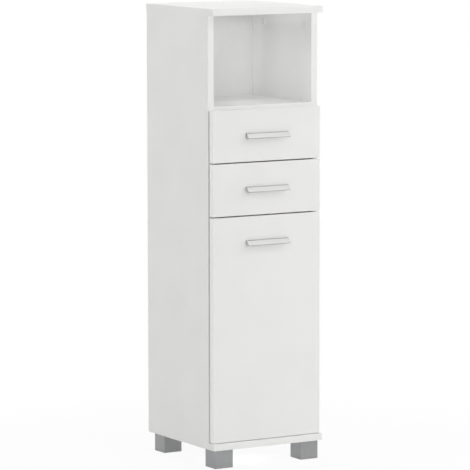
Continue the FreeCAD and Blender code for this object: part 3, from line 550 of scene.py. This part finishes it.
# what all screws share: rings as shares of the radius they are named for, the rest as noted
screwForm = {
    "armHalf": 0.15, "armReach": 0.52,              # recess arm's half width and reach, of the head
    "middleRings": (0.9, 1.5), "armRings": (0.9, 1.0),      # of the arm's half width, of its reach
    "crownRings": (0.72, 0.88, 0.97), "rimRings": (1.0, 1.0, 0.98), "rimHeights": (0.5, 0.06, 0.0),
    "domeEdge": 0.45, "domeCurve": 0.97,
    "acrossArm": (-1.0, -0.88, 0.0, 0.88, 1.0), "betweenArms": (0.25, 0.5, 0.75),
    "threadFrom": 0.6, "plainTip": 1.6, "rowsPerPitch": 4,  # mm under the head, mm at the tip
    "core": 0.78, "ridgeFoot": 0.4, "ridgeFlank": 0.5,      # of the shank, of half a pitch
    "tip": [(0.6, 0.6), (0.25, 0.0)],               # share of the shank, mm from the end
    "turnStep": 0.7,                                # radians that each screw is turned on from the one before
}


# one grid from the recess's floor over the crown, down the rim and along the shank to its tip. Each quarter's
# columns follow the recess's arms; the thread lifts the radius by a ridge of height/pitch plus angle
def screwRings(look):
    form = screwForm
    head, rise, shank, length = (look[key] for key in ("head", "rise", "shank", "length"))
    width, arm = form["armHalf"] * head, form["armReach"] * head
    inside = np.concatenate([
        np.multiply(form["middleRings"], width), np.multiply(form["armRings"], arm),
        np.multiply(form["crownRings"], head)])
    radius = np.concatenate([inside, np.multiply(form["rimRings"], head), [shank]])
    dome = np.sqrt(1 - (form["domeCurve"] * inside / head) ** 2)
    crown = rise * (form["domeEdge"] + (1 - form["domeEdge"]) * dome)
    height = np.concatenate([crown, np.multiply(form["rimHeights"], rise), [0.0]])
    half = np.arcsin(np.minimum(width / radius, 1 / form["middleRings"][1]))[:, None]
    between = half + (math.pi / 2 - 2 * half) * form["betweenArms"]
    quarter = np.concatenate([half * form["acrossArm"], between], axis=1)
    angle = np.concatenate([quarter + turn * math.pi / 2 for turn in range(4)], axis=1)
    sunk = np.zeros(quarter.shape)
    sunk[0] = 1                     # the recess's middle
    sunk[1:3, 1:4] = 1              # and its arms, inside their edges
    height = height[:, None] - look["recess"] * np.tile(sunk, (1, 4))
    run = length - form["threadFrom"] - form["plainTip"]
    rows = int(math.ceil(run / look["pitch"] * form["rowsPerPitch"])) + 1
    drop = -np.linspace(form["threadFrom"], length - form["plainTip"], rows)[:, None]
    tip = np.array(form["tip"])
    shankAngle = np.repeat(angle[-1:], rows + len(tip), axis=0)
    wave = np.mod(-drop / look["pitch"] - shankAngle[:rows] / (2 * math.pi), 1.0)
    ridge = np.clip((1 - np.abs(2 * wave - 1) - form["ridgeFoot"]) / form["ridgeFlank"], 0, 1)
    thread = shank * (form["core"] + (1 - form["core"]) * ridge)
    sides = angle.shape[1]
    tipRadius = np.repeat(tip[:, :1] * shank, sides, axis=1)
    tipHeight = np.repeat(tip[:, 1:] - length, sides, axis=1)
    return turnedRings(
        np.concatenate([np.repeat(radius[:, None], sides, axis=1), thread, tipRadius]),
        np.concatenate([height, np.repeat(drop, sides, axis=1), tipHeight]),
        np.concatenate([angle, shankAngle]))


# a screw in each loose solid's place, its head facing the given way
def screwShells(kind, name, way):
    look = screwLook[kind]
    rings = screwRings(look)
    shells = []
    for number, (low, high) in enumerate(looseBoxes(name)):
        middle = (low + high) / 2
        ahead = faceWay(way, middle)
        seat = middle + ahead * (np.abs(ahead) @ (high - low) / 2 - look["rise"])
        turn = screwForm["turnStep"] * number
        across, along = math.cos(turn), math.sin(turn)
        spin = np.array([[across, along, 0], [-along, across, 0], [0, 0, 1]])
        shells.append(shell(rings @ spin @ headAxes(ahead) + seat))
    return shells


screwNodes = [
    ("euro_screws", "euro", inwards, "carcass"), ("hinge_arm_screws", "arm", inwards, "carcass"),
    ("foot_screws", "foot", downwards, "carcass"), ("cup_screws", "cup", backwards, "door"),
    ("door_handle_screws", "handle", backwards, "door"),
]
for word in drawers:
    screwNodes += [(word + "_drawer_rail_screws", "rail", outwards, word + "_drawer"),
                   (word + "_drawer_handle_screws", "handle", backwards, word + "_drawer")]
for node, kind, way, body in screwNodes:
    makePiece("threaded_" + node, screwShells(kind, node, way), "nickel", body, [node])
print("screws threaded:", len(screwNodes), "sets")

# cover caps and shelf pins: profiles of (radius, height) in mm, heights from the seat outwards
turnedLook = {
    "cap": [(2.6, 1.0), (5.2, 0.97), (6.9, 0.88), (7.8, 0.72), (8.3, 0.5), (8.5, 0.25), (8.5, 0.0)],
    "shelfPin": [(1.2, 7.8), (2.1, 7.65), (2.4, 7.3), (2.5, 6.8), (2.5, 0.9), (2.8, 0.8), (3.6, 0.78),
                 (3.9, 0.65), (4.0, 0.4), (4.0, 0.0), (2.5, 0.0), (2.5, -6.8), (2.3, -7.5), (1.9, -8.0)],
    "pinReach": 7.8, "capThick": 1.0, "sides": 44,
}


# the profile turned about the way ahead
def turnedShell(profile, ahead, seat):
    outline = np.array(profile)
    angle = np.linspace(0, 2 * math.pi, turnedLook["sides"], endpoint=False)
    rings = turnedRings(outline[:, :1], outline[:, 1:], angle[None])
    return shell(rings @ headAxes(ahead) + seat)


caps = []
for low, high in looseBoxes("cam_caps"):
    middle = (low + high) / 2
    onSide = high[0] - low[0] < 2 * turnedLook["capThick"]      # the others are under level boards
    ahead = faceWay(inwards if onSide else downwards, middle)
    caps.append(turnedShell(turnedLook["cap"], ahead, middle - ahead * turnedLook["capThick"] / 2))
makePiece("domed_cam_caps", caps, "whitePlastic", "carcass", ["cam_caps"])
pins = []
for low, high in looseBoxes("shelf_pins"):
    middle = (low + high) / 2
    ahead = faceWay(inwards, middle)
    seat = middle + ahead * ((high - low)[0] / 2 - turnedLook["pinReach"])
    pins.append(turnedShell(turnedLook["shelfPin"], ahead, seat))
makePiece("turned_shelf_pins", pins, "nickel", "carcass", ["shelf_pins"])

# rollers: a moulded wheel with a hub, a dished web with ribs, and a rounded tread; sizes in mm
rollerLook = {
    "bore": 2.6, "half": 3.2, "hub": 1.6, "rim": 1.9, "dip": 0.8, "slope": 0.3, "round": 0.8, "roundIn": 0.25,
    "ribs": 6, "ribDip": 0.5, "ribShift": 0.5, "sides": 60,
}


# profile from the bore out over one side and back over the other, turned; the web's depth goes with
# the cosine of the ribs' angle, shifted and clipped
def rollerShell(radius, middle):
    look = rollerLook
    bore, half, hub, rim, dip = (look[key] for key in ("bore", "half", "hub", "rim", "dip"))
    slope, edge, edgeIn = (look[key] for key in ("slope", "round", "roundIn"))
    angle = np.linspace(0, 2 * math.pi, look["sides"], endpoint=False)[None]
    away = np.array([bore, bore + hub, bore + hub + slope, radius - rim - slope, radius - rim, radius - edge,
                     radius - edgeIn, radius])
    side = half - np.array([0, 0, dip, dip, 0, 0, edgeIn, edge])[:, None]
    web = np.array([0, 0, 1, 1, 0, 0, 0, 0])[:, None]
    side = side - web * look["ribDip"] * np.clip(look["ribShift"] + np.cos(look["ribs"] * angle), 0, 1)
    outAndBack = np.concatenate([away, away[::-1]])[:, None]
    rings = turnedRings(outAndBack, np.concatenate([side, -side[::-1]]), angle)
    return shell(rings @ headAxes(np.array(outwards, dtype=float)) + middle, loop=True)


rollerNodes = [word + place for word in drawers for place in ("_front_rollers", "_rear_rollers")]
for node in rollerNodes:
    wheels = [rollerShell((high - low)[2] / 2, (low + high) / 2) for low, high in looseBoxes(node)]
    makePiece("moulded_" + node, wheels, "nylon", node, [node])
print("caps, shelf pins and rollers turned")


# one where a ray comes from the camera, a gloss or a clear piece, else zero
def seenDirectly(tree):
    rays = addNode(tree, "ShaderNodeLightPath").outputs
    seen = addNode(tree, "ShaderNodeMath", {"operation": "MAXIMUM"}, links={
        0: rays["Is Camera Ray"], 1: rays["Is Glossy Ray"]})
    through = addNode(tree, "ShaderNodeMath", {"operation": "MAXIMUM"}, links={
        0: seen.outputs["Value"], 1: rays["Is Transmission Ray"]})
    return through.outputs["Value"]


# floor: matt white paper that is seen as plain white, with the cabinet's soft shadow near its feet;
# lengths in metres
floorLook = {"half": 9.0, "colour": "#E4E4E4", "shadowShare": 0.075, "fadeFrom": 0.35, "fadeTo": 1.1}


def paperFloor():
    look = floorLook
    material, tree = emptyMaterial("white_paper_floor")
    place = addNode(tree, "ShaderNodeTexCoord").outputs["Object"]
    paper = addNode(tree, "ShaderNodeBsdfDiffuse", values={"Color": linearColour(look["colour"])})
    glow = addNode(tree, "ShaderNodeEmission", values={"Strength": 1.0})
    away = addNode(tree, "ShaderNodeVectorMath", {"operation": "LENGTH"}, links={0: place})
    fade = addNode(tree, "ShaderNodeMapRange", {"interpolation_type": "SMOOTHSTEP"}, {
        "From Min": look["fadeFrom"], "From Max": look["fadeTo"], "To Min": 1 - look["shadowShare"],
        "To Max": 1.0}, {"Value": away.outputs["Value"]})
    share = addNode(tree, "ShaderNodeMath", {"operation": "MULTIPLY"}, links={
        0: seenDirectly(tree), 1: fade.outputs["Result"]})
    mixed = addNode(tree, "ShaderNodeMixShader", links={
        0: share.outputs["Value"], 1: paper.outputs["BSDF"], 2: glow.outputs["Emission"]})
    addNode(tree, "ShaderNodeOutputMaterial", links={"Surface": mixed.outputs["Shader"]})
    return material


half = floorLook["half"]
floorCorners = [(-half, -half, 0), (half, -half, 0), (half, half, 0), (-half, half, 0)]
floorMesh = bpy.data.meshes.new("floor")
floorMesh.from_pydata(floorCorners, [], [(0, 1, 2, 3)])
floor = bpy.data.objects.new("floor", floorMesh)
scene.collection.objects.link(floor)
floorMesh.materials.append(paperFloor())

# world: an even studio tent, seen as plain white
worldLook = {"colour": "#FFFFFF", "tent": 0.249, "seen": 1.0}
world = bpy.data.worlds.new("studio")
scene.world = world
world.use_nodes = True
tree = world.node_tree
tree.nodes.clear()
tent, white = (addNode(tree, "ShaderNodeBackground", values={
    "Color": linearColour(worldLook["colour"]), "Strength": worldLook[part]}) for part in ("tent", "seen"))
sky = addNode(tree, "ShaderNodeMixShader", links={
    0: seenDirectly(tree), 1: tent.outputs["Background"], 2: white.outputs["Background"]})
addNode(tree, "ShaderNodeOutputWorld", links={"Surface": sky.outputs["Shader"]})

# lamps: a key softbox high on the right, fills from the front, low down and all round, and small lamps in
# the niche, at its ceiling and under the cabinet for even light there; metres, and degrees of spread
lampLook = {"shape": "ELLIPSE", "spread": 180}
lamps = {
    "keySoftbox": {"at": (2.167, -2.167, 3.271), "aim": (0.0, 0.0, 0.7), "size": (1.2, 1.2), "watts": 27},
    "frontFill": {"at": (0.416, -3.92, 1.42), "aim": (0.0, 0.0, 0.75), "size": (1.0, 0.5), "watts": 37},
    "lowFill": {"at": (1.10, -3.85, 0.10), "aim": (0.0, 0.0, 0.05), "size": (0.8, 0.12), "watts": 2.5},
    "nicheFill": {"at": (-0.12, -0.08, 0.98), "aim": (0.134, -0.09, 0.89), "size": (0.12, 0.14),
                  "watts": 0.056, "spread": 100},
    "nicheWash": {"at": (-0.10, -0.135, 0.965), "aim": (0.134, 0.13, 0.905), "size": (0.06, 0.16),
                  "watts": 0.0145, "spread": 60},
    "cornerFill": {"at": (-0.10, -0.12, 0.9635), "aim": (0.134, 0.14, 0.955), "size": (0.02, 0.20),
                   "watts": 0.0057, "spread": 16, "shape": "RECTANGLE"},
    "ceilingFill": {"at": (0.0, -0.01, 1.03), "aim": (0.0, -0.01, 1.068), "size": (0.24, 0.27),
                    "watts": 0.043},
    "rearFootFill": {"at": (-0.02, -0.10, 0.03), "aim": (-0.118, 0.098, 0.022), "size": (0.06, 0.02),
                     "watts": 0.061},
    "frontFootFill": {"at": (-0.03, -0.07, 0.03), "aim": (0.094, -0.123, 0.022), "size": (0.06, 0.02),
                      "watts": 0.021},
    "leftFill": {"at": (-3.706, 0.129, 2.198), "aim": (0.0, 0.0, 0.7), "size": (2.0, 1.2), "watts": 52},
    "rightFill": {"at": (3.867, -0.682, 1.463), "aim": (0.0, 0.0, 0.7), "size": (2.0, 0.8), "watts": 46},
    "topSoftbox": {"at": (0.0, 0.4, 4.6), "aim": (0.0, 0.0, 0.6), "size": (1.6, 1.6), "watts": 48},
    "backFill": {"at": (0.8, 4.0, 1.2), "aim": (0.0, 0.0, 0.6), "size": (2.0, 1.5), "watts": 65},
}
for name, own in lamps.items():
    look = {**lampLook, **own}
    lamp = bpy.data.lights.new(name, "AREA")
    lamp.shape = look["shape"]
    lamp.size, lamp.size_y = look["size"]
    lamp.energy = look["watts"]
    lamp.spread = math.radians(look["spread"])
    lampObject = bpy.data.objects.new(name, lamp)
    scene.collection.objects.link(lampObject)
    lampObject.location = look["at"]
    lampObject.visible_camera = False
    lampObject.visible_glossy = False
    beam = Vector(look["aim"]) - Vector(look["at"])
    lampObject.rotation_euler = beam.to_track_quat("-Z", "Y").to_euler()
print("studio lit")

# camera: long lens from the front left, a little above the top panel; lens in mm, place in metres, degrees
cameraLook = {
    "lens": 257.688, "sensor": 36.0, "at": (-4.07128, -6.89906, 1.48271), "farthest": 100.0,
    "turn": 30.5404, "down": 6.7642, "roll": -0.0912,
}
turn, down, roll = (math.radians(cameraLook[key]) for key in ("turn", "down", "roll"))
ahead = Vector((math.sin(turn), math.cos(turn), 0))
level = Vector((math.cos(turn), -math.sin(turn), 0))
view = ahead * math.cos(down) - Vector((0, 0, math.sin(down)))
rise = ahead * math.sin(down) + Vector((0, 0, math.cos(down)))
right = level * math.cos(roll) + rise * math.sin(roll)
up = rise * math.cos(roll) - level * math.sin(roll)
lens = bpy.data.cameras.new("photoCamera")
lens.sensor_fit = "HORIZONTAL"
lens.sensor_width = cameraLook["sensor"]
lens.lens = cameraLook["lens"]
lens.clip_end = cameraLook["farthest"]
camera = bpy.data.objects.new("photoCamera", lens)
scene.collection.objects.link(camera)
camera.matrix_world = Matrix((
    (right.x, up.x, -view.x, cameraLook["at"][0]),
    (right.y, up.y, -view.y, cameraLook["at"][1]),
    (right.z, up.z, -view.z, cameraLook["at"][2]),
    (0, 0, 0, 1)))
scene.camera = camera
scene.view_settings.view_transform = "Standard"
